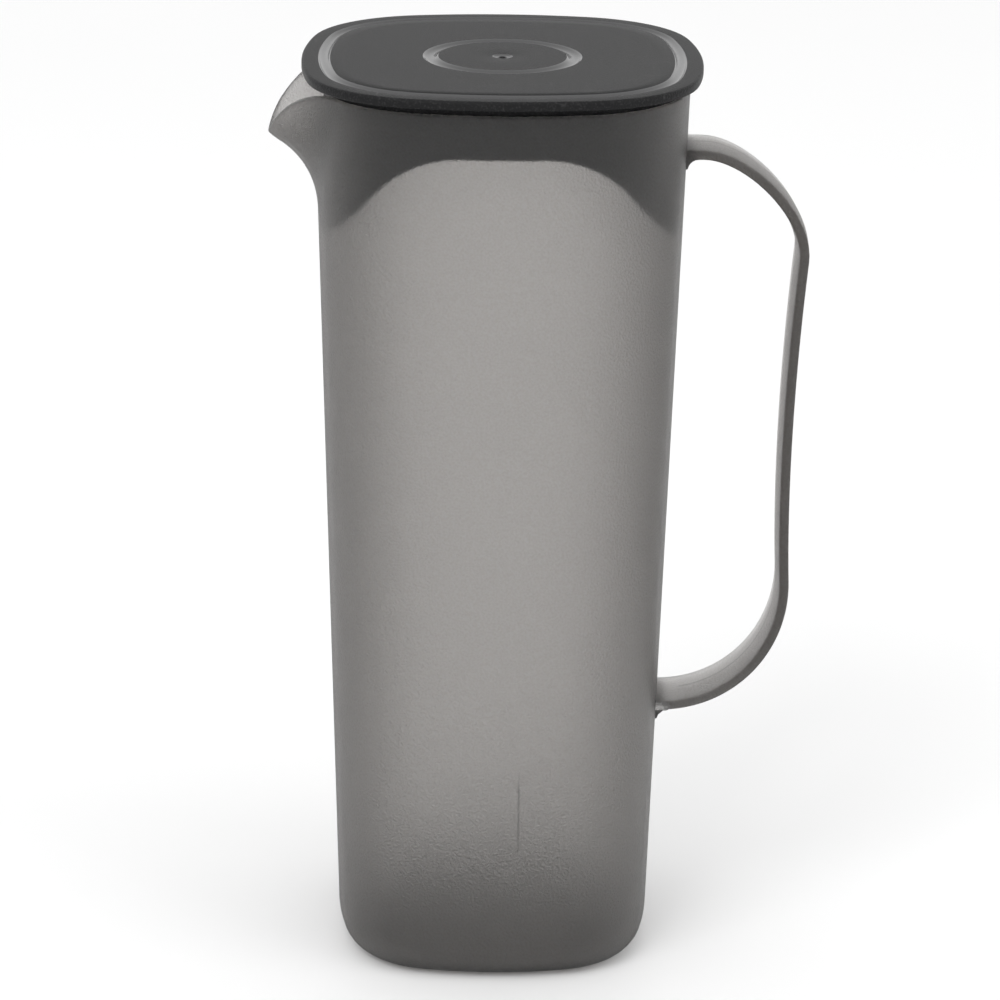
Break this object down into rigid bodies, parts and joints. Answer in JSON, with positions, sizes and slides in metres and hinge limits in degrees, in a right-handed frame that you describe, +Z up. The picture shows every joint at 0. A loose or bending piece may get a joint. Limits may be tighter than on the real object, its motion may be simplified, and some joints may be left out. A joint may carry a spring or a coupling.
{
  "type": "plastic water jug with lid",
  "caption": "Slim rounded-square plastic fridge jug with a beak pouring spout, an open strap handle and a grooved lift-off lid with an arched skirt.",
  "frame": {"origin": "middle of the plane the jug's foot stands on", "axes": "+Z up along the jug, +X towards the handle, -X towards the spout, +Y across the jug"},
  "size_m": [0.1528, 0.1118, 0.263],
  "materials": {
    "jug_plastic": "fine sand texture, smoke-grey, translucent",
    "lid_plastic": "fine sand texture with polished grooves"
  },
  "bodies": {
    "jug": {"jug_body": "jug_plastic", "handle": "jug_plastic"},
    "lid": {"lid": "lid_plastic"}
  },
  "joints": [
    {"name": "lid_lift", "type": "slide", "parent": "jug", "child": "lid", "axis": [0, 0, 1], "range_m": [0, 0.06]}
  ]
}
